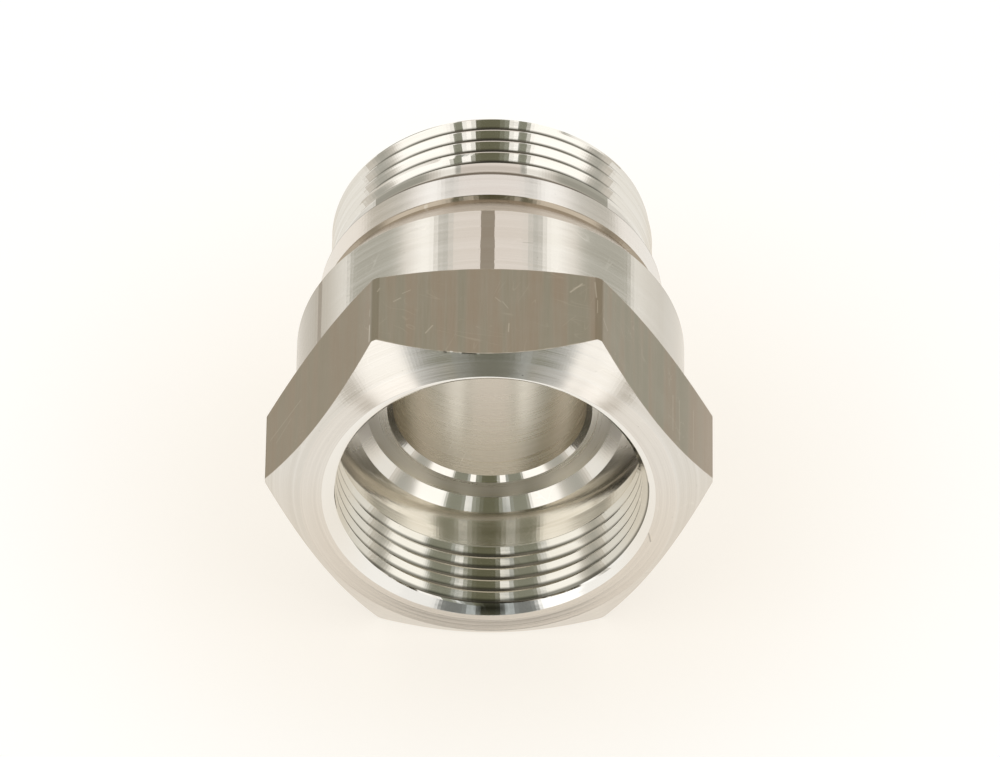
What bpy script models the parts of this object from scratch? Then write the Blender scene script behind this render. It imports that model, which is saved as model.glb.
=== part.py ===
"""Hexagon pipe adapter: one bar-turned body, female thread at the front, male thread at the back.

The axis lies along Y with the female mouth at low Y. The body rests on one hexagon flat, Z is up,
and the origin is the middle of the bounding box at the level of that flat. All lengths in metres.
"""
import math

import bpy

MM = 0.001

# hexagon bar, with its sharp corners turned off by the corner break
HEX_FLATS = 36.0 * MM
HEX_CORNER_BREAK = 0.134 * MM
TOTAL_LENGTH = 36.0 * MM

# threads: 60 degree form, right hand
PITCH = 1.5 * MM
MALE_DIA = 30.0 * MM
FEMALE_DIA = 30.0 * MM
FLANK_HALF_ANGLE = math.radians(30.0)
MALE_DEPTH_RATIO = 0.6134
MALE_CREST_RATIO = 0.125
FEMALE_DEPTH_RATIO = 0.5413
FEMALE_CREST_RATIO = 0.25
CUT_OVERSHOOT = 0.06 * MM

# outside, stations along the axis from the front face
FRONT_FACE_DIA = 34.8 * MM
FRONT_CHAMFER_ANGLE = math.radians(34.5)
HEX_REAR_AT_FLAT = 11.6 * MM
HEX_REAR_ANGLE = math.radians(24.0)
BODY_OVER_FLATS = 0.043 * MM
BODY_END = 19.4 * MM
BODY_EDGE_BREAK = 0.15 * MM
TAPER_ANGLE = math.radians(30.0)
NECK_DIA = 32.0 * MM
NECK_UNDERCUT = 0.35 * MM
NECK_BEVEL_LENGTH = 0.22 * MM
NECK_END = 26.5 * MM
NECK_REAR_ANGLE = math.radians(50.0)
MALE_THREAD_START = 28.6 * MM
RUNOUT_TURNS = 0.75
END_CHAMFER = 1.0 * MM

# inside, stations along the axis from the front face
MOUTH_DIA = 30.8 * MM
MOUTH_ANGLE = math.radians(62.0)
FEMALE_THREAD_END = 8.4 * MM
RELIEF_DIA = 30.1 * MM
SHOULDER_DEPTH = 10.6 * MM
COUNTERBORE_DIA = 24.9 * MM
COUNTERBORE_FLOOR_DIA = 22.8 * MM
COUNTERBORE_DEPTH = 11.6 * MM
BORE_DIA = 18.0 * MM
BORE_LIP_LENGTH = 0.55 * MM
BORE_LIP_WIDTH = 0.65 * MM
BORE_EXIT_CHAMFER = 0.4 * MM

# facets per turn: a multiple of twelve puts a vertex on every corner and every flat centre
STEPS = 84

HEX_RADIUS = HEX_FLATS / 2.0
HEX_CORNER_RADIUS = HEX_RADIUS / math.cos(math.radians(30.0)) - HEX_CORNER_BREAK
BODY_RADIUS = HEX_RADIUS + BODY_OVER_FLATS / 2.0
NECK_RADIUS = NECK_DIA / 2.0
MALE_RADIUS = MALE_DIA / 2.0
MALE_DEPTH = MALE_DEPTH_RATIO * PITCH
FEMALE_DEPTH = FEMALE_DEPTH_RATIO * PITCH
FEMALE_MINOR_RADIUS = FEMALE_DIA / 2.0 - FEMALE_DEPTH
Y_FRONT = -TOTAL_LENGTH / 2.0
Z_AXIS = HEX_RADIUS


def clear_scene():
    for item in list(bpy.data.objects):
        bpy.data.objects.remove(item, do_unlink=True)


def new_collection(name):
    group = bpy.data.collections.new(name)
    bpy.context.scene.collection.children.link(group)
    return group


def steel_material():
    steel = bpy.data.materials.new("turned_steel")
    steel.use_nodes = True
    shader = steel.node_tree.nodes["Principled BSDF"]
    shader.inputs["Base Color"].default_value = (0.62, 0.60, 0.56, 1.0)
    shader.inputs["Metallic"].default_value = 1.0
    shader.inputs["Roughness"].default_value = 0.28
    return steel


def outer_profile():
    """Outside of the turned section as (radius, station) from the front face to the back end."""
    front = FRONT_FACE_DIA / 2.0
    chamfer_end = (HEX_CORNER_RADIUS - front) * math.tan(FRONT_CHAMFER_ANGLE)
    rear_start = HEX_REAR_AT_FLAT - (HEX_CORNER_RADIUS - HEX_RADIUS) * math.tan(HEX_REAR_ANGLE)
    rear_end = HEX_REAR_AT_FLAT - (BODY_RADIUS - HEX_RADIUS) * math.tan(HEX_REAR_ANGLE)
    groove_radius = NECK_RADIUS - NECK_UNDERCUT
    taper_start = BODY_END + BODY_EDGE_BREAK
    taper_radius = BODY_RADIUS - BODY_EDGE_BREAK
    taper_end = taper_start + (taper_radius - groove_radius) / math.tan(TAPER_ANGLE)
    step_end = NECK_END + (NECK_RADIUS - MALE_RADIUS) / math.tan(NECK_REAR_ANGLE)
    return [
        (front, 0.0),
        (HEX_CORNER_RADIUS, chamfer_end),
        (HEX_CORNER_RADIUS, rear_start),
        (BODY_RADIUS, rear_end),
        (BODY_RADIUS, BODY_END),
        (taper_radius, taper_start),
        (groove_radius, taper_end),
        (NECK_RADIUS, taper_end + NECK_BEVEL_LENGTH),
        (NECK_RADIUS, NECK_END),
        (MALE_RADIUS, step_end),
        (MALE_RADIUS, TOTAL_LENGTH - END_CHAMFER),
        (MALE_RADIUS - END_CHAMFER, TOTAL_LENGTH),
    ]


def inner_profile():
    """Inside of the turned section as (radius, station) from the back end to the front face."""
    bore = BORE_DIA / 2.0
    mouth = MOUTH_DIA / 2.0
    relief = RELIEF_DIA / 2.0
    mouth_depth = (mouth - FEMALE_MINOR_RADIUS) / math.tan(MOUTH_ANGLE)
    return [
        (bore + BORE_EXIT_CHAMFER, TOTAL_LENGTH),
        (bore, TOTAL_LENGTH - BORE_EXIT_CHAMFER),
        (bore, COUNTERBORE_DEPTH + BORE_LIP_LENGTH),
        (bore + BORE_LIP_WIDTH, COUNTERBORE_DEPTH),
        (COUNTERBORE_FLOOR_DIA / 2.0, COUNTERBORE_DEPTH),
        (COUNTERBORE_DIA / 2.0, SHOULDER_DEPTH),
        (relief, SHOULDER_DEPTH),
        (relief, FEMALE_THREAD_END),
        (FEMALE_MINOR_RADIUS, FEMALE_THREAD_END),
        (FEMALE_MINOR_RADIUS, mouth_depth),
        (mouth, 0.0),
    ]


def turned_body(name, group):
    """Closed half section at +X swept once round the axis."""
    section = outer_profile() + inner_profile()
    points = [(radius, Y_FRONT + station, 0.0) for radius, station in section]
    count = len(points)
    edges = [(i, (i + 1) % count) for i in range(count)]
    mesh = bpy.data.meshes.new(name)
    mesh.from_pydata(points, edges, [])
    body = bpy.data.objects.new(name, mesh)
    body.location = (0.0, 0.0, Z_AXIS)
    group.objects.link(body)
    turn = body.modifiers.new("turning", "SCREW")
    turn.axis = "Y"
    turn.angle = 2.0 * math.pi
    turn.steps = STEPS
    turn.render_steps = STEPS
    turn.screw_offset = 0.0
    turn.iterations = 1
    turn.use_merge_vertices = True
    turn.merge_threshold = 0.00001
    turn.use_smooth_shade = True
    return body


def hexagon_bar(name, group):
    """Six sided bar longer than the body, with flats at the top and the bottom."""
    bpy.ops.mesh.primitive_cylinder_add(
        vertices=6,
        radius=HEX_RADIUS / math.cos(math.radians(30.0)),
        depth=TOTAL_LENGTH * 1.2,
        location=(0.0, 0.0, Z_AXIS),
        rotation=(math.radians(90.0), 0.0, 0.0),
    )
    bar = bpy.context.object
    bar.name = name
    for vertex in bar.data.vertices:
        x, y, z = vertex.co
        vertex.co = (y, -x, z)
    for owner in list(bar.users_collection):
        owner.objects.unlink(bar)
    group.objects.link(bar)
    return bar


def helical_cutter(name, group, section, first_station, turns, lift):
    """Solid thread cutter: the section (radius, offset) carried along a right hand helix."""
    count = len(section)
    total = int(round(turns * STEPS))
    points = []
    for step in range(total + 1):
        angle = 2.0 * math.pi * step / STEPS
        rise = lift(step / STEPS)
        station = Y_FRONT + first_station + PITCH * step / STEPS
        for radius, offset in section:
            reach = radius + rise
            points.append((reach * math.cos(-angle), station + offset, reach * math.sin(-angle)))
    faces = []
    for step in range(total):
        base = step * count
        for k in range(count):
            after = (k + 1) % count
            faces.append((base + k, base + count + k, base + count + after, base + after))
    faces.append(tuple(range(count)))
    faces.append(tuple(range(total * count + count - 1, total * count - 1, -1)))
    mesh = bpy.data.meshes.new(name)
    mesh.from_pydata(points, [], faces)
    cutter = bpy.data.objects.new(name, mesh)
    cutter.location = (0.0, 0.0, Z_AXIS)
    group.objects.link(cutter)
    return cutter


def male_groove(group):
    crest = MALE_CREST_RATIO * PITCH
    half_top = (PITCH - crest) / 2.0
    half_root = half_top - MALE_DEPTH * math.tan(FLANK_HALF_ANGLE)
    half_out = half_top + CUT_OVERSHOOT * math.tan(FLANK_HALF_ANGLE)
    top = MALE_RADIUS + CUT_OVERSHOOT
    root = MALE_RADIUS - MALE_DEPTH
    section = [(top, -half_out), (top, half_out), (root, half_root), (root, -half_root)]
    turns = (TOTAL_LENGTH - MALE_THREAD_START) / PITCH + 1.5

    def lift(turn):
        short = max(0.0, 1.0 - turn / RUNOUT_TURNS)
        return (MALE_DEPTH + CUT_OVERSHOOT) * short

    return helical_cutter("male_groove", group, section, MALE_THREAD_START, turns, lift)


def female_groove(group):
    crest = FEMALE_CREST_RATIO * PITCH
    half_open = (PITCH - crest) / 2.0
    half_root = half_open - FEMALE_DEPTH * math.tan(FLANK_HALF_ANGLE)
    half_in = half_open + CUT_OVERSHOOT * math.tan(FLANK_HALF_ANGLE)
    inner = FEMALE_MINOR_RADIUS - CUT_OVERSHOOT
    root = FEMALE_DIA / 2.0
    section = [(root, -half_root), (root, half_root), (inner, half_in), (inner, -half_in)]
    turns = math.ceil(FEMALE_THREAD_END / PITCH) + 2
    first = -1.5 * PITCH

    def lift(turn):
        return 0.0

    return helical_cutter("female_groove", group, section, first, turns, lift)


def apply_cut(body, cutter, operation):
    cutter.hide_render = True
    cutter.display_type = "WIRE"
    cut = body.modifiers.new(cutter.name, "BOOLEAN")
    cut.object = cutter
    cut.operation = operation
    cut.solver = "EXACT"


def main():
    clear_scene()
    group = new_collection("hex_pipe_adapter")
    tools = new_collection("cutters")
    body = turned_body("adapter_body", group)
    body.data.materials.append(steel_material())
    apply_cut(body, hexagon_bar("hexagon_bar", tools), "INTERSECT")
    apply_cut(body, male_groove(tools), "DIFFERENCE")
    apply_cut(body, female_groove(tools), "DIFFERENCE")


main()
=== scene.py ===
"""Looks of the hexagon pipe adapter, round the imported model, in metres.

One Geometry Nodes tree grows the body from the sizes below, ring by ring along its turned section,
and every ring takes the finish that its cut has on the real one.
"""
import math

import bpy
from mathutils import Matrix, Vector


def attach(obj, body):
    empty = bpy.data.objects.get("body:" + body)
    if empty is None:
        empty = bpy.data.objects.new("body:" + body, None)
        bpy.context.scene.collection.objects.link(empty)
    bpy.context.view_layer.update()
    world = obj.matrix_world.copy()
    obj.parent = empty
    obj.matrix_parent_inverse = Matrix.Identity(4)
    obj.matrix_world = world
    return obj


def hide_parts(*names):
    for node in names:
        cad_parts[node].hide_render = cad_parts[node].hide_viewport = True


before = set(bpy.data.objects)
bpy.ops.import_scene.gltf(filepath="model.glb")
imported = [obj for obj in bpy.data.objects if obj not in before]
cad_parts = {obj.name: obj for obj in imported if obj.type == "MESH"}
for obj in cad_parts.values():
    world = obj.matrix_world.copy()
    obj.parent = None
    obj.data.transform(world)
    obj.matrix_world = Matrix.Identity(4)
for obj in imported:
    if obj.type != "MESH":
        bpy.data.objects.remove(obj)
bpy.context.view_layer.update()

MM = 0.001
TURN = 2.0 * math.pi
AXIS_HEIGHT = 18.0 * MM
TOTAL_LENGTH = 36.0 * MM
ALONG = (0.0, 1.0, 0.0)

# sizes of the adapter in millimetres; stations run along the axis from the front face
SIZES = {
    "Hexagon Reach": 18.0,
    "Corner Reach": 20.65,
    "Face Radius": 17.4,
    "Hexagon Rear": 11.6,
    "Collar Radius": 18.02,
    "Collar End": 19.4,
    "Collar Edge": 0.15,
    "Neck Radius": 16.0,
    "Neck Undercut": 0.35,
    "Neck Bevel": 0.22,
    "Neck End": 26.5,
    "Spigot Radius": 15.0,
    "Spigot End": 36.0,
    "Spigot Chamfer": 1.0,
    "Groove Start": 28.6,
    "Mouth Radius": 15.4,
    "Eased Width": 0.5,
    "Eased Depth": 0.03,
    "Socket Radius": 14.188,
    "Socket Thread End": 8.4,
    "Relief Radius": 15.05,
    "Shoulder Depth": 10.6,
    "Step Radius": 12.45,
    "Step Floor Radius": 11.4,
    "Step Floor Depth": 11.6,
    "Bore Radius": 9.0,
    "Lip Length": 0.44,
    "Lip Width": 0.52,
    "Bore Exit": 0.4,
    "Edge Break": 0.06,
    "Pitch": 1.5,
    "Spigot Groove Depth": 0.83,
    "Spigot Half Root": 0.05,
    "Spigot Half Open": 0.7,
    "Socket Groove Depth": 0.79,
    "Socket Half Root": 0.06,
    "Socket Half Open": 0.68,
}
FACE_CHAMFER = math.radians(34.5)
HEXAGON_REAR = math.radians(24.0)
COLLAR_TAPER = math.radians(30.0)
NECK_REAR = math.radians(50.0)
MOUTH_CONE = math.radians(62.0)
RUNOUT_TURNS = 0.75
COLUMNS = 360
FLATS = 6.0
CORNER_CROWDING = 0.75
ROWS_PER_PITCH = 10
THREAD_TURNS = 10
WELD_DISTANCE = 0.001 * MM
SMOOTH_ANGLE = math.radians(24.0)
# stations between which the painted shade in the spigot's thread roots ends, before its end chamfer
SPIGOT_TIP = (35.1, 35.3)


def feed(tree, socket, value):
    """Links a socket, or writes a plain value to it."""
    if isinstance(value, bpy.types.NodeSocket):
        tree.links.new(value, socket)
    else:
        socket.default_value = value


def put(tree, kind, values=None, **settings):
    """Adds a node with its settings and its inputs."""
    node = tree.nodes.new(kind)
    for name, value in settings.items():
        setattr(node, name, value)
    for name, value in (values or {}).items():
        feed(tree, node.inputs[name], value)
    return node


def calc(tree, operation, *values):
    """One step of arithmetic."""
    return put(tree, "ShaderNodeMath", dict(enumerate(values)), operation=operation).outputs[0]


def plus(tree, first, second):
    return calc(tree, "ADD", first, second)


def less(tree, first, second):
    return calc(tree, "SUBTRACT", first, second)


def times(tree, first, second):
    return calc(tree, "MULTIPLY", first, second)


def vector_calc(tree, operation, *values):
    """One step of vector arithmetic, giving its vector."""
    node = put(tree, "ShaderNodeVectorMath", dict(enumerate(values)), operation=operation)
    return node.outputs["Vector"]


def stretched(tree, vector, factor):
    """A vector times a number."""
    values = {0: vector, "Scale": factor}
    return put(tree, "ShaderNodeVectorMath", values, operation="SCALE").outputs[0]


def measured(tree, operation, *vectors):
    """The number that a step of vector arithmetic gives, such as a length."""
    node = put(tree, "ShaderNodeVectorMath", dict(enumerate(vectors)), operation=operation)
    return node.outputs["Value"]


def parts_of(tree, vector):
    """The three numbers of a vector."""
    return put(tree, "ShaderNodeSeparateXYZ", {0: vector}).outputs


def noise(tree, place, scale, detail, roughness=0.5):
    """Smooth noise between 0 and 1."""
    values = {"Vector": place, "Scale": scale, "Detail": detail, "Roughness": roughness}
    return put(tree, "ShaderNodeTexNoise", values).outputs[0]


def bearing(tree, first, second):
    """Angle in degrees of a direction, from its two legs."""
    return times(tree, calc(tree, "ARCTAN2", first, second), 360.0 / TURN)


def held(tree, value, low, high):
    """A value kept between two limits."""
    return calc(tree, "MINIMUM", calc(tree, "MAXIMUM", value, low), high)


def between(tree, value, low, high, first=0.0, last=1.0, smooth=False):
    """Carries a value from the range low..high to the range first..last, held at both ends."""
    values = dict(enumerate((value, low, high, first, last)))
    kind = "SMOOTHSTEP" if smooth else "LINEAR"
    return put(tree, "ShaderNodeMapRange", values, clamp=True, interpolation_type=kind).outputs[0]


def window(tree, value, middle, half, soft):
    """One within half of the middle, falling softly to nothing."""
    gap = calc(tree, "ABSOLUTE", less(tree, value, middle))
    return between(tree, gap, half - soft, half + soft, 1.0, 0.0, smooth=True)


def new_group(name, kind, inputs, outputs):
    """A node group with named sockets: its tree, what it is given and what it makes."""
    tree = bpy.data.node_groups.new(name, kind)
    for label, socket, value in inputs:
        item = tree.interface.new_socket(label, in_out="INPUT", socket_type=socket)
        if value is not None:
            item.default_value = value
    for label, socket in outputs:
        tree.interface.new_socket(label, in_out="OUTPUT", socket_type=socket)
    return tree, put(tree, "NodeGroupInput").outputs, put(tree, "NodeGroupOutput").inputs


def use_group(tree, group, values):
    """Places a node group in a tree."""
    kind = "GeometryNodeGroup" if tree.bl_idname == "GeometryNodeTree" else "ShaderNodeGroup"
    node = tree.nodes.new(kind)
    node.node_tree = group
    for name, value in values.items():
        feed(tree, node.inputs[name], value)
    return node


def geometry_group(name, inputs, outputs):
    return new_group(name, "GeometryNodeTree", inputs, outputs)


def shader_group(name, inputs, outputs):
    return new_group(name, "ShaderNodeTree", inputs, outputs)


FLOAT = "NodeSocketFloat"
WHOLE = "NodeSocketInt"
VECTOR = "NodeSocketVector"
MESH = "NodeSocketGeometry"
FINISH = "NodeSocketMaterial"


def grid_place(tree):
    """Where a point of a grid one metre square lies: its two shares, from 0 to 1."""
    place = parts_of(tree, put(tree, "GeometryNodeInputPosition").outputs[0])
    return [plus(tree, place[side], 0.5) for side in (0, 1)]


def placed(tree, mesh, point):
    """Moves the points of a grid to their place on the part."""
    return put(tree, "GeometryNodeSetPosition", {"Geometry": mesh, "Position": point}).outputs[0]


def dressed(tree, mesh, finish, chosen=True):
    """Gives a mesh its finish."""
    values = {"Geometry": mesh, "Selection": chosen, "Material": finish}
    return put(tree, "GeometryNodeSetMaterial", values).outputs[0]


# shape: the turned body as rings of quads, welded into one closed skin


def make_column_angle():
    """Angle of a grid column round the axis, with columns crowded at the six corners."""
    tree, _, made = geometry_group("column_angle", [], [("Angle", FLOAT), ("Turn", FLOAT)])
    share = times(tree, grid_place(tree)[0], TURN)
    pull = calc(tree, "SINE", times(tree, share, FLATS))
    pull = times(tree, pull, CORNER_CROWDING / FLATS)
    angle = less(tree, share, pull)
    feed(tree, made["Angle"], angle)
    feed(tree, made["Turn"], calc(tree, "DIVIDE", angle, TURN))
    return tree


def make_hexagon_reach(column_angle):
    """Distance from the axis to the flats at a column, and the same cut off at the corners."""
    inputs = [("Hexagon Reach", FLOAT, 0.0), ("Corner Reach", FLOAT, 0.0)]
    outputs = [("Reach", FLOAT), ("Broken Reach", FLOAT)]
    tree, given, made = geometry_group("hexagon_reach", inputs, outputs)
    angle = use_group(tree, column_angle, {}).outputs["Angle"]
    side = calc(tree, "FLOORED_MODULO", angle, TURN / FLATS)
    from_middle = less(tree, side, TURN / FLATS / 2.0)
    reach = calc(tree, "DIVIDE", given["Hexagon Reach"], calc(tree, "COSINE", from_middle))
    feed(tree, made["Reach"], reach)
    broken = calc(tree, "MINIMUM", reach, given["Corner Reach"])
    feed(tree, made["Broken Reach"], broken)
    return tree


def make_round_point(column_angle):
    """Point at a radius and a station, both in millimetres, on a column."""
    inputs = [("Radius", FLOAT, 0.0), ("Station", FLOAT, 0.0)]
    tree, given, made = geometry_group("round_point", inputs, [("Point", VECTOR)])
    angle = use_group(tree, column_angle, {}).outputs["Angle"]
    radius = times(tree, given["Radius"], MM)
    along = calc(tree, "MULTIPLY_ADD", given["Station"], MM, -TOTAL_LENGTH / 2.0)
    side = times(tree, radius, calc(tree, "COSINE", angle))
    down = times(tree, radius, calc(tree, "SINE", angle))
    height = less(tree, AXIS_HEIGHT, down)
    point = put(tree, "ShaderNodeCombineXYZ", {0: side, 1: along, 2: height})
    feed(tree, made["Point"], point.outputs[0])
    return tree


def make_turned_ring(round_point):
    """Ring of quads ruled between two edges of the turned section."""
    names = ("Start Radius", "Start Station", "End Radius", "End Station")
    inputs = [("Columns", WHOLE, COLUMNS), ("Rows", WHOLE, 1), ("Finish", FINISH, None)]
    inputs += [(name, FLOAT, 0.0) for name in names]
    tree, given, made = geometry_group("turned_ring", inputs, [("Ring", MESH)])
    across = plus(tree, given["Columns"], 1.0)
    along = plus(tree, given["Rows"], 1.0)
    grid = put(tree, "GeometryNodeMeshGrid", {0: 1.0, 1: 1.0, 2: across, 3: along})
    share = grid_place(tree)[1]
    sizes = []
    for word in ("Radius", "Station"):
        start = given["Start " + word]
        rise = less(tree, given["End " + word], start)
        sizes.append(calc(tree, "MULTIPLY_ADD", rise, share, start))
    point = use_group(tree, round_point, {"Radius": sizes[0], "Station": sizes[1]})
    ring = placed(tree, grid.outputs[0], point.outputs[0])
    feed(tree, made["Ring"], dressed(tree, ring, given["Finish"]))
    return tree


GROOVE_INPUTS = [
    ("First Station", FLOAT, 0.0),
    ("Pitch", FLOAT, 1.5),
    ("Depth", FLOAT, 1.0),
    ("Half Root", FLOAT, 0.1),
    ("Half Open", FLOAT, 0.6),
    ("Runout", FLOAT, 0.001),
]


def make_groove_depth(column_angle):
    """Depth of a right hand helical groove at a station of a column."""
    inputs = [("Station", FLOAT, 0.0)] + GROOVE_INPUTS
    tree, given, made = geometry_group("groove_depth", inputs, [("Depth", FLOAT)])
    turn = use_group(tree, column_angle, {}).outputs["Turn"]
    from_first = less(tree, given["Station"], given["First Station"])
    count = less(tree, calc(tree, "DIVIDE", from_first, given["Pitch"]), turn)
    nearest = calc(tree, "FLOOR", plus(tree, count, 0.5))
    off = calc(tree, "ABSOLUTE", less(tree, count, nearest))
    off = times(tree, off, given["Pitch"])
    open_width = given["Half Open"]
    depth = given["Depth"]
    sunk = between(tree, off, given["Half Root"], open_width, depth, 0.0)
    cut_turns = plus(tree, nearest, turn)
    short = between(tree, cut_turns, 0.0, given["Runout"], 1.0, 0.0)
    cut = less(tree, sunk, times(tree, short, depth))
    feed(tree, made["Depth"], calc(tree, "MAXIMUM", cut, 0.0))
    return tree


def make_thread_ring(column_angle, round_point, groove_depth):
    """Threaded band whose rows follow the helix, for a spigot (Side 1) or a socket (Side -1)."""
    names = ("First Turn", "Start Station", "End Station", "Crest Radius")
    names += ("Cone Radius", "Cone Station", "Cone Slope", "Side")
    inputs = [("Columns", WHOLE, COLUMNS), ("Turns", WHOLE, THREAD_TURNS), ("Finish", FINISH, None)]
    inputs += [(name, FLOAT, 0.0) for name in names] + GROOVE_INPUTS
    tree, size, made = geometry_group("thread_ring", inputs, [("Ring", MESH)])
    across = plus(tree, size["Columns"], 1.0)
    rows = times(tree, size["Turns"], float(ROWS_PER_PITCH))
    grid = put(tree, "GeometryNodeMeshGrid", {0: 1.0, 1: 1.0, 2: across, 3: rows})
    last_row = less(tree, rows, 1.0)
    row = calc(tree, "ROUND", times(tree, grid_place(tree)[1], last_row))
    whole = calc(tree, "DIVIDE", plus(tree, row, 0.5), float(ROWS_PER_PITCH))
    whole = calc(tree, "FLOOR", whole)
    part = less(tree, row, times(tree, whole, float(ROWS_PER_PITCH)))
    from_middle = less(tree, part, (ROWS_PER_PITCH - 1) / 2.0)
    flank_share = less(tree, calc(tree, "ABSOLUTE", from_middle), 0.5)
    flank_share = calc(tree, "DIVIDE", flank_share, ROWS_PER_PITCH / 2.0 - 1.0)
    flank = less(tree, size["Half Open"], size["Half Root"])
    offset = calc(tree, "MULTIPLY_ADD", flank, flank_share, size["Half Root"])
    offset = times(tree, offset, calc(tree, "SIGN", from_middle))
    turn = use_group(tree, column_angle, {}).outputs["Turn"]
    turns = plus(tree, plus(tree, whole, turn), size["First Turn"])
    station = calc(tree, "MULTIPLY_ADD", turns, size["Pitch"], size["First Station"])
    station = plus(tree, station, offset)
    station = held(tree, station, size["Start Station"], size["End Station"])
    groove = {name: size[name] for name, _, _ in GROOVE_INPUTS} | {"Station": station}
    cut = use_group(tree, groove_depth, groove).outputs[0]
    past_cone = less(tree, station, size["Cone Station"])
    cone = calc(tree, "MULTIPLY_ADD", past_cone, size["Cone Slope"], size["Cone Radius"])
    side = size["Side"]
    crest = less(tree, size["Crest Radius"], times(tree, cut, side))
    signed_cone = times(tree, cone, side)
    signed_crest = times(tree, crest, side)
    radius = times(tree, calc(tree, "MINIMUM", signed_cone, signed_crest), side)
    point = use_group(tree, round_point, {"Radius": radius, "Station": station})
    ring = placed(tree, grid.outputs[0], point.outputs[0])
    inward = calc(tree, "LESS_THAN", side, 0.0)
    turned = put(tree, "GeometryNodeFlipFaces", {"Mesh": ring, "Selection": inward})
    feed(tree, made["Ring"], dressed(tree, turned.outputs[0], size["Finish"]))
    return tree


def make_adapter_tree(finishes):
    """The whole adapter: rings in order round the section, welded, with its gentle edges smooth."""
    column_angle = make_column_angle()
    hexagon_reach = make_hexagon_reach(column_angle)
    round_point = make_round_point(column_angle)
    turned_ring = make_turned_ring(round_point)
    groove_depth = make_groove_depth(column_angle)
    thread_ring = make_thread_ring(column_angle, round_point, groove_depth)
    inputs = [("Columns", WHOLE, COLUMNS)]
    inputs += [(name, FLOAT, value) for name, value in SIZES.items()]
    inputs += [(name, FINISH, None) for name in finishes]
    tree, size, made = geometry_group("hexagon_adapter", inputs, [("Adapter", MESH)])
    rings = []

    def ring(start, end, rows, finish):
        values = {"Columns": size["Columns"], "Rows": rows, "Finish": size[finish]}
        values |= {"Start Radius": start[0], "Start Station": start[1]}
        values |= {"End Radius": end[0], "End Station": end[1]}
        rings.append(use_group(tree, turned_ring, values).outputs[0])

    def run(edges):
        for (start, rows, finish), following in zip(edges, edges[1:]):
            ring(start, following[0], rows, finish)

    break_size = size["Edge Break"]
    reaches = {name: size[name] for name in ("Hexagon Reach", "Corner Reach")}
    reach = use_group(tree, hexagon_reach, reaches)
    hexagon = reach.outputs["Broken Reach"]
    collar = calc(tree, "MINIMUM", reach.outputs["Reach"], size["Collar Radius"])
    face = size["Face Radius"]
    hexagon_front = times(tree, less(tree, hexagon, face), math.tan(FACE_CHAMFER))
    over_flat = less(tree, hexagon, size["Hexagon Reach"])
    set_back = times(tree, over_flat, math.tan(HEXAGON_REAR))
    hexagon_rear = less(tree, size["Hexagon Rear"], set_back)
    over_flat = less(tree, collar, size["Hexagon Reach"])
    set_back = times(tree, over_flat, math.tan(HEXAGON_REAR))
    collar_start = less(tree, size["Hexagon Rear"], set_back)
    taper_radius = less(tree, size["Collar Radius"], size["Collar Edge"])
    taper_start = plus(tree, size["Collar End"], size["Collar Edge"])
    root_radius = less(tree, size["Neck Radius"], size["Neck Undercut"])
    taper_height = less(tree, taper_radius, root_radius)
    taper_end = plus(tree, taper_start, calc(tree, "DIVIDE", taper_height, math.tan(COLLAR_TAPER)))
    neck_start = plus(tree, taper_end, size["Neck Bevel"])
    step_height = less(tree, size["Neck Radius"], size["Spigot Radius"])
    step_end = plus(tree, size["Neck End"], calc(tree, "DIVIDE", step_height, math.tan(NECK_REAR)))
    band_end = less(tree, size["Groove Start"], size["Spigot Half Open"])
    spigot_rim = less(tree, size["Spigot Radius"], size["Spigot Chamfer"])
    chamfer_start = less(tree, size["Spigot End"], size["Spigot Chamfer"])
    mouth_edge = plus(tree, size["Mouth Radius"], size["Eased Depth"])
    column = use_group(tree, column_angle, {}).outputs["Angle"]
    low = calc(tree, "MULTIPLY_ADD", calc(tree, "SINE", column), 0.5, 0.5)
    eased_edge = plus(tree, mouth_edge, calc(tree, "MULTIPLY_ADD", low, size["Eased Width"], 0.02))

    run([
        ((size["Mouth Radius"], break_size), 1, "Faced"),
        ((mouth_edge, size["Eased Depth"]), 2, "Faced"),
        ((eased_edge, 0.0), 8, "Faced"),
        ((face, 0.0), 8, "Chamfered"),
        ((hexagon, hexagon_front), 10, "Drawn"),
        ((hexagon, hexagon_rear), 4, "Chamfered"),
        ((collar, collar_start), 10, "Collared"),
        ((collar, size["Collar End"]), 2, "Turned"),
        ((taper_radius, taper_start), 8, "Tapered"),
        ((root_radius, taper_end), 2, "Beveled"),
        ((less(tree, size["Neck Radius"], break_size), neck_start), 1, "Beveled"),
        ((size["Neck Radius"], plus(tree, neck_start, break_size)), 6, "Turned"),
        ((size["Neck Radius"], less(tree, size["Neck End"], break_size)), 1, "Turned"),
        ((less(tree, size["Neck Radius"], break_size), size["Neck End"]), 3, "Turned"),
        ((size["Spigot Radius"], step_end), 2, "Banded"),
        ((size["Spigot Radius"], band_end), 1, "Turned"),
    ])
    values = {"Columns": size["Columns"], "Turns": THREAD_TURNS, "First Turn": -2.0}
    values |= {"Start Station": band_end, "End Station": size["Spigot End"]}
    values |= {"Crest Radius": size["Spigot Radius"], "Cone Radius": size["Spigot Radius"]}
    values |= {"Cone Station": chamfer_start, "Cone Slope": -1.0, "Side": 1.0}
    values |= {"First Station": size["Groove Start"], "Pitch": size["Pitch"], "Runout": RUNOUT_TURNS}
    values |= {name: size["Spigot " + name] for name in ("Half Root", "Half Open")}
    values |= {"Depth": size["Spigot Groove Depth"], "Finish": size["Threaded"]}
    rings.append(use_group(tree, thread_ring, values).outputs[0])

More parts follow.
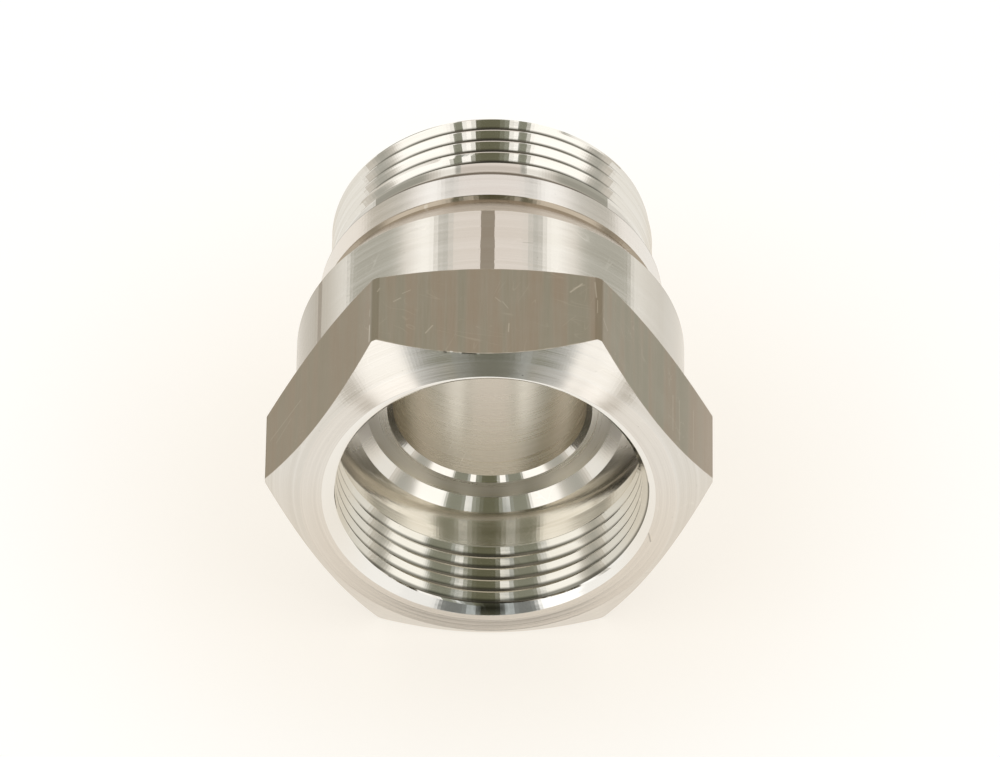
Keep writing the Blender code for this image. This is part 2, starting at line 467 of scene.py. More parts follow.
    thread_end = size["Socket Thread End"]
    socket_first = times(tree, size["Pitch"], -1.5)
    groove = {name: size["Socket " + name] for name in ("Half Root", "Half Open")}
    groove |= {"First Station": socket_first, "Pitch": size["Pitch"]}
    groove |= {"Depth": size["Socket Groove Depth"], "Runout": 0.001}
    last_cut = use_group(tree, groove_depth, groove | {"Station": thread_end}).outputs[0]
    run([
        ((spigot_rim, size["Spigot End"]), 6, "Faced"),
        ((plus(tree, size["Bore Radius"], size["Bore Exit"]), size["Spigot End"]), 1, "Faced"),
        ((size["Bore Radius"], less(tree, size["Spigot End"], size["Bore Exit"])), 16, "Bored"),
        ((size["Bore Radius"], plus(tree, size["Step Floor Depth"], size["Lip Length"])), 1, "Lipped"),
        ((plus(tree, size["Bore Radius"], size["Lip Width"]), size["Step Floor Depth"]), 3, "Stepped"),
        ((size["Step Floor Radius"], size["Step Floor Depth"]), 2, "Sloped"),
        ((size["Step Radius"], size["Shoulder Depth"]), 4, "Shouldered"),
        ((size["Relief Radius"], size["Shoulder Depth"]), 3, "Relieved"),
        ((size["Relief Radius"], thread_end), 2, "Stepped"),
        ((plus(tree, size["Socket Radius"], last_cut), thread_end), 0, "Stepped"),
    ])
    values = {"Columns": size["Columns"], "Turns": THREAD_TURNS, "First Turn": -1.0}
    values |= {"Start Station": break_size, "End Station": thread_end}
    values |= {"Crest Radius": size["Socket Radius"], "Cone Radius": size["Mouth Radius"]}
    values |= {"Cone Station": break_size, "Cone Slope": -math.tan(MOUTH_CONE), "Side": -1.0}
    values |= groove | {"Finish": size["Socket Threaded"]}
    rings.append(use_group(tree, thread_ring, values).outputs[0])

    joined = tree.nodes.new("GeometryNodeJoinGeometry")
    for item in rings:
        tree.links.new(item, joined.inputs[0])
    values = {"Geometry": joined.outputs[0], "Distance": WELD_DISTANCE}
    welded = put(tree, "GeometryNodeMergeByDistance", values).outputs[0]
    angle = put(tree, "GeometryNodeInputMeshEdgeAngle").outputs["Unsigned Angle"]
    gentle = calc(tree, "LESS_THAN", angle, SMOOTH_ANGLE)
    values = {"Geometry": welded, "Shade Smooth": gentle}
    shaded = put(tree, "GeometryNodeSetShadeSmooth", values, domain="EDGE").outputs[0]
    made_real = put(tree, "GeometryNodeRealizeInstances", {0: shaded}).outputs[0]
    # every ring has its finish already, so the last one is put on no face
    feed(tree, made["Adapter"], dressed(tree, made_real, size["Turned"], False))
    return tree


def grown_mesh(name, tree, inputs):
    """Runs a geometry tree on an empty mesh and keeps the result as a plain mesh."""
    holder = bpy.data.objects.new(name, bpy.data.meshes.new(name))
    bpy.context.scene.collection.objects.link(holder)
    grow = holder.modifiers.new("shape", "NODES")
    grow.node_group = tree
    for item in tree.interface.items_tree:
        if item.item_type == "SOCKET" and item.in_out == "INPUT" and item.name in inputs:
            grow[item.identifier] = inputs[item.name]
    holder.update_tag()
    seen = holder.evaluated_get(bpy.context.evaluated_depsgraph_get())
    mesh = bpy.data.meshes.new_from_object(seen)
    mesh.name = name
    while mesh.materials and mesh.materials[0] is None:
        mesh.materials.pop(index=0)
    holder.modifiers.remove(grow)
    holder.data = mesh
    return holder


# finishes: shader groups that several metals share


def paint(red, green, blue):
    """Screen colour, given as 0 to 255, in the linear values that a shader takes."""
    linear = []
    for value in (red, green, blue):
        share = value / 255.0
        linear.append(share / 12.92 if share <= 0.04045 else ((share + 0.055) / 1.055) ** 2.4)
    return (*linear, 1.0)


def make_round_place():
    """Where a point lies on the turned part: radius and station in millimetres, and its directions."""
    outputs = [("Radius", FLOAT), ("Station", FLOAT), ("Outward", VECTOR), ("Round", VECTOR)]
    tree, given, made = shader_group("round_place", [("Place", VECTOR, None)], outputs)
    face_middle = (0.0, -TOTAL_LENGTH / 2.0, AXIS_HEIGHT)
    centred = vector_calc(tree, "SUBTRACT", given["Place"], face_middle)
    scaled = stretched(tree, centred, 1.0 / MM)
    feed(tree, made["Station"], parts_of(tree, scaled)[1])
    flat = vector_calc(tree, "MULTIPLY", scaled, (1.0, 0.0, 1.0))
    feed(tree, made["Radius"], measured(tree, "LENGTH", flat))
    outward = vector_calc(tree, "NORMALIZE", flat)
    feed(tree, made["Outward"], outward)
    feed(tree, made["Round"], vector_calc(tree, "CROSS_PRODUCT", ALONG, outward))
    return tree


def make_turning_marks(round_place):
    """Tool marks that run round the axis: a leaning, rippled normal and an uneven tone."""
    inputs = [
        ("Place", VECTOR, None),
        ("Normal", VECTOR, None),
        ("Lines per mm", FLOAT, 8.0),
        ("Lean", FLOAT, 0.0),
        ("Ripple", FLOAT, 0.1),
        ("Drift", FLOAT, 0.6),
    ]
    tree, given, made = shader_group("turning_marks", inputs, [("Normal", VECTOR), ("Tone", FLOAT)])
    spot = use_group(tree, round_place, {"Place": given["Place"]}).outputs
    course = plus(tree, spot["Radius"], spot["Station"])
    course = times(tree, course, given["Lines per mm"])
    around = parts_of(tree, stretched(tree, spot["Outward"], given["Drift"]))
    cut = put(tree, "ShaderNodeCombineXYZ", {0: course, 1: around[0], 2: around[2]}).outputs[0]
    fine = noise(tree, cut, 1.0, 3.0, 0.6)
    swing = times(tree, less(tree, fine, 0.5), 2.0)
    tilt = calc(tree, "MULTIPLY_ADD", swing, given["Ripple"], given["Lean"])
    across = vector_calc(tree, "CROSS_PRODUCT", spot["Round"], given["Normal"])
    leaned = vector_calc(tree, "ADD", given["Normal"], stretched(tree, across, tilt))
    feed(tree, made["Normal"], vector_calc(tree, "NORMALIZE", leaned))
    slow = noise(tree, vector_calc(tree, "MULTIPLY", cut, (0.17, 1.0, 1.0)), 1.0, 2.0)
    tone = calc(tree, "MULTIPLY_ADD", slow, 0.5, times(tree, fine, 0.5))
    feed(tree, made["Tone"], tone)
    return tree


# ways in which fine scratches run: turn in radians, and how their noise is drawn out
SCRATCH_AXIS = (0.35, 0.2, 0.9)
SCRATCH_RUNS = [(0.35, (0.5, 0.05, 0.5)), (-0.9, (0.42, 0.07, 0.42)), (1.9, (0.6, 0.06, 0.6))]


def make_scuffs():
    """Sparse fine scratches in all directions, and small pits."""
    inputs = [("Place", VECTOR, None), ("Amount", FLOAT, 0.3), ("Size", FLOAT, 1.0)]
    tree, given, made = shader_group("scuffs", inputs, [("Scratches", FLOAT), ("Pits", FLOAT)])
    size = calc(tree, "DIVIDE", 1.0 / MM, given["Size"])
    place = stretched(tree, given["Place"], size)
    total = 0.0
    for turn, drawn_out in SCRATCH_RUNS:
        values = {"Vector": place, "Axis": SCRATCH_AXIS, "Angle": turn}
        angled = put(tree, "ShaderNodeVectorRotate", values).outputs[0]
        wave = noise(tree, vector_calc(tree, "MULTIPLY", angled, drawn_out), 1.0, 1.0)
        line = calc(tree, "ABSOLUTE", less(tree, wave, 0.5))
        line = between(tree, line, 0.002, 0.009, 1.0, 0.0)
        gate = between(tree, noise(tree, angled, 0.23, 1.0), 0.58, 0.66)
        total = calc(tree, "MAXIMUM", times(tree, line, gate), total)
    feed(tree, made["Scratches"], times(tree, total, given["Amount"]))
    dots = put(tree, "ShaderNodeTexVoronoi", {"Vector": place, "Scale": 1.3})
    small = between(tree, dots.outputs["Distance"], 0.04, 0.1, 1.0, 0.0)
    chosen = put(tree, "ShaderNodeSeparateColor", {0: dots.outputs["Color"]}).outputs[0]
    small = times(tree, small, between(tree, chosen, 0.9, 0.91))
    feed(tree, made["Pits"], times(tree, small, given["Amount"]))
    return tree


def make_edge_wear():
    """Worn line along an edge, from the distance to it in millimetres, broken up by noise."""
    inputs = [("Place", VECTOR, None), ("Distance", FLOAT, 1.0), ("Width", FLOAT, 0.1)]
    tree, given, made = shader_group("edge_wear", inputs, [("Worn", FLOAT)])
    broken = between(tree, noise(tree, given["Place"], 900.0, 3.0), 0.35, 0.65, 0.3, 1.6)
    width = times(tree, given["Width"], broken)
    gap = calc(tree, "ABSOLUTE", given["Distance"])
    feed(tree, made["Worn"], between(tree, gap, 0.0, width, 1.0, 0.0, smooth=True))
    return tree


def make_cut_line():
    """A single scratch between two points given in millimetres."""
    inputs = [
        ("Place", VECTOR, None),
        ("Start", VECTOR, (0.0, 0.0, 0.0)),
        ("End", VECTOR, (1.0, 0.0, 0.0)),
        ("Width", FLOAT, 0.05),
        ("Strength", FLOAT, 1.0),
    ]
    tree, given, made = shader_group("cut_line", inputs, [("Mark", FLOAT)])
    place = stretched(tree, given["Place"], 1.0 / MM)
    from_start = vector_calc(tree, "SUBTRACT", place, given["Start"])
    along = vector_calc(tree, "SUBTRACT", given["End"], given["Start"])
    reached = measured(tree, "DOT_PRODUCT", from_start, along)
    share = calc(tree, "DIVIDE", reached, measured(tree, "DOT_PRODUCT", along, along))
    foot = stretched(tree, along, held(tree, share, 0.0, 1.0))
    gap = measured(tree, "DISTANCE", from_start, foot)
    mark = between(tree, gap, 0.0, given["Width"], 1.0, 0.0)
    feed(tree, made["Mark"], times(tree, mark, given["Strength"]))
    return tree


def mixed(tree, share, first, second):
    """Blend of two colours."""
    node = put(tree, "ShaderNodeMix", {0: share}, data_type="RGBA")
    feed(tree, node.inputs[6], first)
    feed(tree, node.inputs[7], second)
    return node.outputs[2]


def bare_material(name):
    """A material with its Principled shader, its tree and its object coordinates."""
    material = bpy.data.materials.new(name)
    material.use_nodes = True
    tree = material.node_tree
    shader = tree.nodes["Principled BSDF"]
    shader.inputs["Metallic"].default_value = 1.0
    place = put(tree, "ShaderNodeTexCoord").outputs["Object"]
    return material, tree, shader, place


def marked(tree, groups, place, colour, marks):
    """Lays single scratches and nicks over a colour."""
    for start, end, width, strength, tone in marks:
        values = {"Place": place, "Start": start, "End": end, "Width": width, "Strength": strength}
        line = use_group(tree, groups["cut_line"], values).outputs["Mark"]
        colour = mixed(tree, line, colour, tone)
    return colour


def rising(tree, outward, low, high, below, above):
    """A value that changes with the height round the axis, from -1 at the bottom to 1 at the top."""
    return between(tree, parts_of(tree, outward)[2], low, high, below, above)


def turned_metal(
    name, groups, light, dark, lines, ripple, rough, stretch, lean=(0.0, 0.0),
    marks=(), strips=(), stains=(), roots=None, sides=None, mouth=0.0, spread=0.0, dull=0.0,
):
    """Bright metal straight from the lathe, its gloss drawn out across the tool marks.

    The lean is given at the bottom and at the top. Strips of drawn skin are left at the angles where
    the tool missed a flat. Three arguments add painted shade: dark lines at a station, where steps and
    grooves fall into shade; the radii between which the roots of a thread are darkened, and its
    strength;
    and the shares of the radius between which the colour turns to a shaded one toward the sides, its
    strength on the left and on the right, and that colour. Mouth is the lean of the countersink's top,
    where paler paint stands in for a brighter reflection. Spread turns the gloss away from the middle,
    and dull is the roughness that is added toward the top.
    """
    material, tree, shader, place = bare_material(name)
    facing = put(tree, "ShaderNodeNewGeometry").outputs["Normal"]
    normal = facing
    spot = use_group(tree, groups["round_place"], {"Place": place}).outputs
    outward = spot["Outward"]
    parts = parts_of(tree, outward)
    aside = calc(tree, "ABSOLUTE", parts[0])
    lean = rising(tree, outward, -1.0, 0.2, *lean)
    if mouth:
        at_mouth = between(tree, spot["Station"], 0.7, 0.76, 1.0, 0.0)
        cone = times(tree, rising(tree, outward, -0.35, 0.1, 0.0, mouth), at_mouth)
        lean = plus(tree, lean, cone)
    if spread:
        push = between(tree, aside, 0.175, 0.225, 0.0, spread)
        push = times(tree, push, between(tree, aside, 0.34, 0.6, 1.0, 0.0))
        push = times(tree, push, calc(tree, "SIGN", parts[0]))
        normal = vector_calc(tree, "ADD", normal, stretched(tree, spot["Round"], push))
        normal = vector_calc(tree, "NORMALIZE", normal)
    values = {"Place": place, "Normal": normal, "Lines per mm": lines, "Lean": lean, "Ripple": ripple}
    tooled = use_group(tree, groups["turning_marks"], values).outputs
    scuffs = use_group(tree, groups["scuffs"], {"Place": place, "Amount": 0.25, "Size": 1.0}).outputs
    tone = between(tree, tooled["Tone"], 0.35, 0.65)
    colour = mixed(tree, tone, dark, light)
    colour = mixed(tree, scuffs["Scratches"], colour, paint(244, 240, 232))
    colour = mixed(tree, scuffs["Pits"], colour, paint(92, 86, 74))
    # painted shade: the roots of a thread are darkened between two radii, as if in shade
    if roots:
        first, full, strength = roots
        root_shade = between(tree, spot["Radius"], first, full, 0.0, strength, smooth=True)
        threaded = between(tree, spot["Station"], *SPIGOT_TIP, 1.0, 0.0)
        root_shade = times(tree, root_shade, threaded)
        if mouth:
            root_shade = times(tree, root_shade, less(tree, 1.0, at_mouth))
            # painted reflection: paler paint on the countersink stands in for its brighter reflection
            colour = mixed(tree, at_mouth, colour, paint(238, 235, 230))
        colour = mixed(tree, root_shade, colour, paint(70, 68, 56))
    rougher = calc(tree, "MULTIPLY_ADD", scuffs["Scratches"], 0.12, rough * 0.85)
    if dull:
        rougher = plus(tree, rougher, rising(tree, outward, -0.6, 0.1, 0.0, dull))
    rougher = calc(tree, "MULTIPLY_ADD", tone, rough * 0.3, rougher)
    # painted shade: toward the left and right sides the colour turns to a shaded one
    if sides:
        low, high, left, right, tint = sides
        share = between(tree, aside, low, high, smooth=True)
        share = times(tree, share, between(tree, parts[0], -0.1, 0.1, left, right))
        colour = mixed(tree, share, colour, tint)
    for middle, half in strips:
        ragged = calc(tree, "MULTIPLY_ADD", less(tree, tone, 0.5), 0.3, half)
        off = less(tree, bearing(tree, parts[2], parts[0]), middle)
        skin = calc(tree, "LESS_THAN", calc(tree, "ABSOLUTE", off), ragged)
        drawn = mixed(tree, tone, paint(163, 152, 137), paint(174, 165, 151))
        colour = mixed(tree, skin, colour, drawn)
        rougher = calc(tree, "MULTIPLY_ADD", skin, 0.3, rougher)
    # painted shade: dark lines at a station, where steps and grooves fall into shade
    for station, half, strength in stains:
        line = window(tree, spot["Station"], station, half, half * 0.5)
        colour = mixed(tree, times(tree, line, strength), colour, paint(96, 86, 72))
    feed(tree, shader.inputs["Base Color"], marked(tree, groups, place, colour, marks))
    feed(tree, shader.inputs["Roughness"], rougher)
    feed(tree, shader.inputs["Normal"], tooled["Normal"])
    shader.inputs["Anisotropic"].default_value = stretch
    centred = vector_calc(tree, "SUBTRACT", place, (0.0, 0.0, AXIS_HEIGHT))
    around = vector_calc(tree, "CROSS_PRODUCT", ALONG, centred)
    feed(tree, shader.inputs["Tangent"], vector_calc(tree, "CROSS_PRODUCT", around, facing))
    return material


PALE = paint(226, 220, 206)
MILKY = paint(202, 193, 176)
SOOTY = paint(88, 80, 66)
BARE = paint(252, 250, 244)
# colour of a painted dark reflection at the bottom of the mouth
DARK_REFLECTION = paint(54, 52, 32)

# single marks in object coordinates, in millimetres: both ends, half width, strength and colour
DRAWN_MARKS = [
    ((7.63, -9.49, 36.0), (8.68, -8.43, 36.0), 0.13, 0.8, MILKY),
    ((7.9, -9.0, 36.0), (8.9, -8.55, 36.0), 0.08, 0.5, MILKY),
    ((-8.57, -10.71, 36.0), (-7.94, -10.25, 36.0), 0.09, 0.6, MILKY),
    ((-7.77, -9.65, 36.0), (-7.04, -9.19, 36.0), 0.08, 0.5, MILKY),
    ((-10.06, -9.38, 36.0), (-9.88, -8.99, 36.0), 0.09, 0.6, MILKY),
    ((-5.59, -14.88, 36.0), (-4.96, -13.9, 36.0), 0.1, 0.65, MILKY),
    ((2.03, -13.65, 36.0), (1.99, -14.7, 36.0), 0.09, 0.7, MILKY),
    ((0.76, -10.2, 36.0), (1.23, -10.73, 36.0), 0.08, 0.5, MILKY),
    ((1.41, -10.73, 36.0), (1.92, -11.6, 36.0), 0.07, 0.5, MILKY),
    ((9.87, -8.23, 36.0), (10.02, -10.2, 36.0), 0.1, 0.6, MILKY),
    ((10.12, -10.6, 36.0), (10.12, -12.21, 36.0), 0.08, 0.5, MILKY),
    ((-10.74, -13.25, 35.39), (-10.76, -15.34, 35.37), 0.12, 0.8, PALE),
    ((-10.76, -11.2, 35.38), (-10.76, -12.0, 35.37), 0.1, 0.5, MILKY),
    ((-20.2, -11.51, 19.02), (-17.33, -11.34, 23.99), 0.1, 0.35, MILKY),
    ((-19.6, -12.9, 20.05), (-18.2, -12.2, 22.47), 0.09, 0.3, MILKY),
    ((10.66, -12.51, 35.53), (11.03, -13.44, 34.9), 0.1, 0.6, MILKY),
    ((17.0, -11.3, 24.56), (17.0, -15.9, 24.56), 0.1, 0.45, MILKY),
    ((17.6, -10.9, 23.52), (17.6, -16.2, 23.52), 0.08, 0.4, MILKY),
    ((18.88, -10.0, 21.3), (18.88, -15.2, 21.3), 0.08, 0.35, MILKY),
]
# nicks along the front edge of the upper flat
NICKS = [
    ((-4.35, -17.27, 36.0), (-4.24, -17.3, 36.0), 0.12, 0.7, PALE),
    ((-3.85, -17.31, 35.98), (-3.71, -17.35, 35.98), 0.17, 0.8, SOOTY),
    ((-3.55, -17.33, 36.0), (-3.44, -17.35, 36.0), 0.08, 0.6, PALE),
    ((-3.26, -17.35, 36.0), (-3.15, -17.38, 36.0), 0.15, 1.0, BARE),
    ((-2.69, -17.47, 36.0), (-2.64, -17.48, 36.0), 0.09, 0.8, PALE),
    ((-2.43, -17.53, 35.99), (-2.34, -17.55, 35.99), 0.13, 1.0, BARE),
    ((-2.18, -17.5, 35.98), (-0.96, -17.6, 35.98), 0.1, 1.0, SOOTY),
    ((-0.79, -17.62, 35.97), (-0.68, -17.63, 35.97), 0.13, 1.0, BARE),
]
FACE_MARKS = [
    ((1.55, -18.0, 33.98), (1.95, -18.0, 33.7), 0.07, 0.6, PALE),
    ((1.95, -18.0, 33.7), (2.27, -18.0, 33.09), 0.07, 0.6, PALE),
    ((2.5, -18.0, 33.72), (2.55, -18.0, 33.72), 0.12, 0.9, PALE),
    ((3.27, -18.0, 33.6), (3.3, -18.0, 33.6), 0.09, 0.7, SOOTY),
    ((13.81, -18.0, 30.65), (13.9, -18.0, 30.6), 0.13, 0.6, SOOTY),
    ((14.72, -18.0, 13.29), (14.9, -18.0, 12.25), 0.1, 0.5, SOOTY),
    ((14.95, -18.0, 13.1), (15.05, -18.0, 12.4), 0.08, 0.6, PALE),
    ((0.0, -18.0, 1.95), (0.0, -18.0, 1.6), 0.09, 0.8, PALE),
]
# a painted dark reflection at the bottom of the mouth, laid on like a mark
MOUTH_DARK_REFLECTION = [((-0.9, -17.6, 3.2), (1.0, -17.6, 3.2), 0.75, 0.8, DARK_REFLECTION)]
COLLAR_MARKS = [
    ((-2.27, -0.87, 35.88), (-1.63, -0.68, 35.95), 0.08, 0.5, PALE),
    ((-1.9, -3.9, 35.9), (-1.2, -3.85, 35.98), 0.06, 0.4, PALE),
    ((3.2, -2.6, 35.75), (4.1, -2.5, 35.55), 0.06, 0.35, SOOTY),
]


def drawn_metal(name, groups):
    """Dull skin of drawn bar: fine lines along the bar, light scratches, bright edges rubbed by wear
    and a painted dark reflection along the corners.
    """
    material, tree, shader, place = bare_material(name)
    lines = vector_calc(tree, "MULTIPLY", place, (1.0 / MM, 0.035 / MM, 1.0 / MM))
    fine = noise(tree, lines, 4.5, 4.0, 0.65)
    broad = noise(tree, lines, 0.7, 2.0)
    cloud = noise(tree, place, 260.0, 3.0)
    colour = mixed(tree, between(tree, fine, 0.3, 0.7), paint(154, 146, 128), paint(170, 162, 147))
    colour = mixed(tree, between(tree, broad, 0.42, 0.62, 0.0, 0.6), colour, paint(161, 145, 126))
    colour = mixed(tree, between(tree, broad, 0.5, 0.36, 0.0, 0.5), colour, paint(150, 147, 130))
    colour = mixed(tree, between(tree, cloud, 0.45, 0.75, 0.0, 0.35), colour, paint(166, 161, 146))
    scuffs = use_group(tree, groups["scuffs"], {"Place": place, "Amount": 0.22, "Size": 0.8}).outputs
    colour = mixed(tree, scuffs["Scratches"], colour, paint(196, 186, 168))
    colour = mixed(tree, scuffs["Pits"], colour, paint(104, 92, 72))
    spot = use_group(tree, groups["round_place"], {"Place": place}).outputs
    corner = less(tree, spot["Radius"], SIZES["Corner Reach"] - 0.1)
    slant = math.tan(FACE_CHAMFER)
    front = calc(tree, "MULTIPLY_ADD", spot["Radius"], -slant, spot["Station"])
    front = plus(tree, front, SIZES["Face Radius"] * slant)
    slant = math.tan(HEXAGON_REAR)
    rear = calc(tree, "MULTIPLY_ADD", spot["Radius"], slant, spot["Station"])
    rear = less(tree, rear, SIZES["Hexagon Rear"] + SIZES["Hexagon Reach"] * slant)
    for distance, width, tone in ((front, 0.1, (206, 198, 182)), (rear, 0.07, (196, 187, 172))):
        values = {"Place": place, "Distance": distance, "Width": width}
        wear_and_shade = use_group(tree, groups["edge_wear"], values).outputs["Worn"]
        colour = mixed(tree, wear_and_shade, colour, paint(*tone))
    # painted dark reflection: a thin dark line along the hexagon's rounded corners
    corner_dark_reflection = between(tree, corner, -0.05, 0.04, 0.0, 0.4, smooth=True)
    colour = mixed(tree, corner_dark_reflection, colour, paint(118, 108, 84))
    across = parts_of(tree, place)[0]
    browner = between(tree, across, -12.0 * MM, -10.5 * MM, 0.5, 0.0)
    colour = mixed(tree, browner, colour, paint(148, 132, 108))
    lighter = between(tree, across, 17.5 * MM, 20.5 * MM, 0.0, 0.7)
    colour = mixed(tree, lighter, colour, paint(184, 171, 156))
    feed(tree, shader.inputs["Base Color"], marked(tree, groups, place, colour, DRAWN_MARKS + NICKS))
    rough = between(tree, fine, 0.3, 0.7, 0.46, 0.56)
    rough = calc(tree, "MULTIPLY_ADD", scuffs["Scratches"], -0.1, rough)
    feed(tree, shader.inputs["Roughness"], rough)
    bump = put(tree, "ShaderNodeBump", {"Height": fine, "Strength": 0.25, "Distance": 0.04 * MM})
    feed(tree, shader.inputs["Normal"], bump.outputs[0])
    return material


# setting: floor, light and camera

# studio panels that lie alike on the right and on the left: azimuth from the front and elevation of the
# middle, half width, half height and softness, all in degrees, and colour
PAIRED_PANELS = [
    (180.0, 45.0, 21.0, 7.0, 2.0, (0.93, 0.87, 0.83)),
    (139.0, 8.0, 5.5, 16.0, 2.5, (0.5, 0.5, 0.45)),
    (53.0, 15.0, 7.0, 12.0, 3.0, (0.5, 0.5, 0.46)),
    (154.0, 12.0, 10.0, 8.0, 3.0, (1.2, 1.18, 1.15)),
    (150.0, 27.0, 4.5, 10.0, 2.5, (1.3, 1.3, 1.28)),
    (156.0, 39.0, 3.2, 5.0, 1.0, (0.6, 0.6, 0.57)),
    (70.0, 30.0, 18.0, 16.0, 6.0, (1.2, 1.2, 1.18)),
]
# single panels in front, positive to the right: azimuth of the middle at the horizon, its change per
# degree of height, and the same values as above
PANELS = [
    (34.0, 0.1, 22.0, 9.5, 19.0, 1.5, (1.4, 1.4, 1.38)),
    (-33.0, -0.08, 22.0, 9.5, 19.0, 1.5, (1.4, 1.4, 1.38)),
    (29.5, 0.1, 0.0, 4.5, 6.0, 1.5, (1.4, 1.4, 1.38)),
    (-28.0, -0.1, 0.0, 5.5, 6.0, 1.5, (1.4, 1.4, 1.38)),
    (19.0, 0.2, 10.0, 6.0, 14.0, 1.5, (0.62, 0.64, 0.64)),
    (-16.0, -0.3, 10.0, 6.5, 14.0, 1.5, (0.62, 0.64, 0.64)),
    (0.8, 0.02, 24.0, 14.0, 30.0, 1.0, (0.2, 0.2, 0.16)),
    (6.6, 0.35, 34.0, 14.0, 14.0, 1.5, (0.3, 0.31, 0.25)),
    (-5.0, -0.35, 34.0, 13.0, 14.0, 1.5, (0.3, 0.31, 0.25)),
    (0.0, 0.0, 20.0, 7.0, 32.0, 1.5, (0.165, 0.165, 0.108)),
    (6.6, 0.266, 4.0, 2.4, 12.0, 0.8, (0.5, 0.54, 0.54)),
    (-4.25, -0.25, 4.0, 2.4, 12.0, 0.8, (0.5, 0.54, 0.54)),
    (6.6, 0.266, 32.0, 2.9, 17.0, 0.8, (0.51, 0.54, 0.53)),
    (-4.25, -0.25, 32.0, 2.9, 17.0, 0.8, (0.49, 0.52, 0.51)),
    (6.6, 0.24, 35.0, 2.8, 5.0, 0.8, (1.4, 1.4, 1.38)),
    (-4.25, -0.2, 35.0, 3.0, 5.0, 0.8, (1.4, 1.4, 1.38)),
    (0.0, 0.0, 23.5, 12.0, 3.5, 1.5, (0.24, 0.25, 0.22)),
    (24.0, 0.0, 5.0, 8.5, 6.0, 1.5, (0.98, 0.98, 0.96)),
    (-24.5, 0.0, 5.0, 8.5, 6.0, 1.5, (1.4, 1.4, 1.38)),
    (-0.3, 0.0, 10.0, 15.8, 5.5, 1.2, (0.2, 0.21, 0.2)),
    (-0.8, 0.0, 10.5, 4.0, 5.0, 0.8, (0.065, 0.065, 0.04)),
    (5.1, 0.0, 10.5, 1.65, 5.0, 0.6, (0.5, 0.54, 0.54)),
    (-6.7, 0.0, 10.5, 1.65, 5.0, 0.6, (0.5, 0.54, 0.54)),
]
# the room's light near the horizon, higher up and overhead, and what the camera sees behind the floor
ROOM_LOW = (0.76, 0.73, 0.675, 1.0)
ROOM_HIGH = (1.0, 0.97, 0.93, 1.0)
ROOM_TOP = (0.3, 0.3, 0.27, 1.0)
BACKDROP = (0.99, 0.98, 0.95, 1.0)

# the paper: half its side in metres, its colours near the part, where painted shade makes it creamier,
# and away from it, the share of them that takes the shadow, and the glow added to it
PAPER_HALF = 0.6
PAPER_NEAR = (0.985, 0.94, 0.87, 1.0)
PAPER_AWAY = (1.0, 1.0, 0.985, 1.0)
PAPER_SHARE = 0.36
PAPER_GLOW = 0.74

# camera, solved from the hexagon's corners: the point that it looks at, in metres, how far away it is,
# its tilt below the horizon, its swing to the side and its roll in degrees, and its lens
CAMERA_TARGET = (0.00121, -0.0176, 0.03283)
CAMERA_DISTANCE = 1.30227
CAMERA_TILT = 44.0217
CAMERA_SWING = -1.1053
CAMERA_ROLL = -0.8413
CAMERA_LENS = 512.98
CAMERA_SENSOR = 36.0
CAMERA_CLIP = 0.05


def make_studio():
    """Pale room with soft panels behind, to the left and to the right, and a dark gap in front."""
    world = bpy.data.worlds.new("studio")
    bpy.context.scene.world = world
    world.use_nodes = True
    tree = world.node_tree
    direction = put(tree, "ShaderNodeTexCoord").outputs["Generated"]
    parts = parts_of(tree, direction)
    height = times(tree, calc(tree, "ARCSINE", parts[2]), 360.0 / TURN)
    front = bearing(tree, parts[0], times(tree, parts[1], -1.0))
    back = bearing(tree, parts[0], parts[1])
    light = mixed(tree, between(tree, height, 0.0, 50.0), ROOM_LOW, ROOM_HIGH)
    light = mixed(tree, between(tree, height, 62.0, 72.0, smooth=True), light, ROOM_TOP)

    def panel(side, middle, elevation, wide, high, soft, colour):
        mask = window(tree, side, middle, wide, soft)
        mask = times(tree, mask, window(tree, height, elevation, high, soft))
        return mixed(tree, mask, light, (*colour, 1.0))

    for azimuth, *rest in PAIRED_PANELS:
        if azimuth < 90.0:
            light = panel(calc(tree, "ABSOLUTE", front), azimuth, *rest)
        else:
            light = panel(calc(tree, "ABSOLUTE", back), 180.0 - azimuth, *rest)
    for azimuth, slant, *rest in PANELS:
        light = panel(calc(tree, "MULTIPLY_ADD", height, -slant, front), azimuth, *rest)
    seen = put(tree, "ShaderNodeLightPath").outputs["Is Camera Ray"]
    light = mixed(tree, seen, light, BACKDROP)
    feed(tree, tree.nodes["Background"].inputs["Color"], light)
    tree.nodes["Background"].inputs["Strength"].default_value = 1.0


def make_floor():
    """White paper, made a little creamier near the part by painted shade, which keeps a faint shadow.
    """
    corners = [(x * PAPER_HALF, y * PAPER_HALF, 0.0) for x, y in ((-1, -1), (1, -1), (1, 1), (-1, 1))]
    mesh = bpy.data.meshes.new("paper_floor")
    mesh.from_pydata(corners, [], [(0, 1, 2, 3)])
    floor = bpy.data.objects.new("paper_floor", mesh)
    bpy.context.scene.collection.objects.link(floor)
    material, tree, shader, place = bare_material("white_paper")
    shader.inputs["Metallic"].default_value = 0.0
    shader.inputs["Roughness"].default_value = 0.9
    shader.inputs["Specular IOR Level"].default_value = 0.0
    # painted shade: the paper turns creamier near the part
    away = between(tree, measured(tree, "LENGTH", place), 20.0 * MM, 60.0 * MM, smooth=True)
    colour = mixed(tree, away, PAPER_NEAR, PAPER_AWAY)
    feed(tree, shader.inputs["Base Color"], stretched(tree, colour, PAPER_SHARE))
    feed(tree, shader.inputs["Emission Color"], colour)
    path = put(tree, "ShaderNodeLightPath").outputs
    seen = calc(tree, "MAXIMUM", path["Is Camera Ray"], path["Is Glossy Ray"])
    feed(tree, shader.inputs["Emission Strength"], times(tree, seen, PAPER_GLOW))
    mesh.materials.append(material)


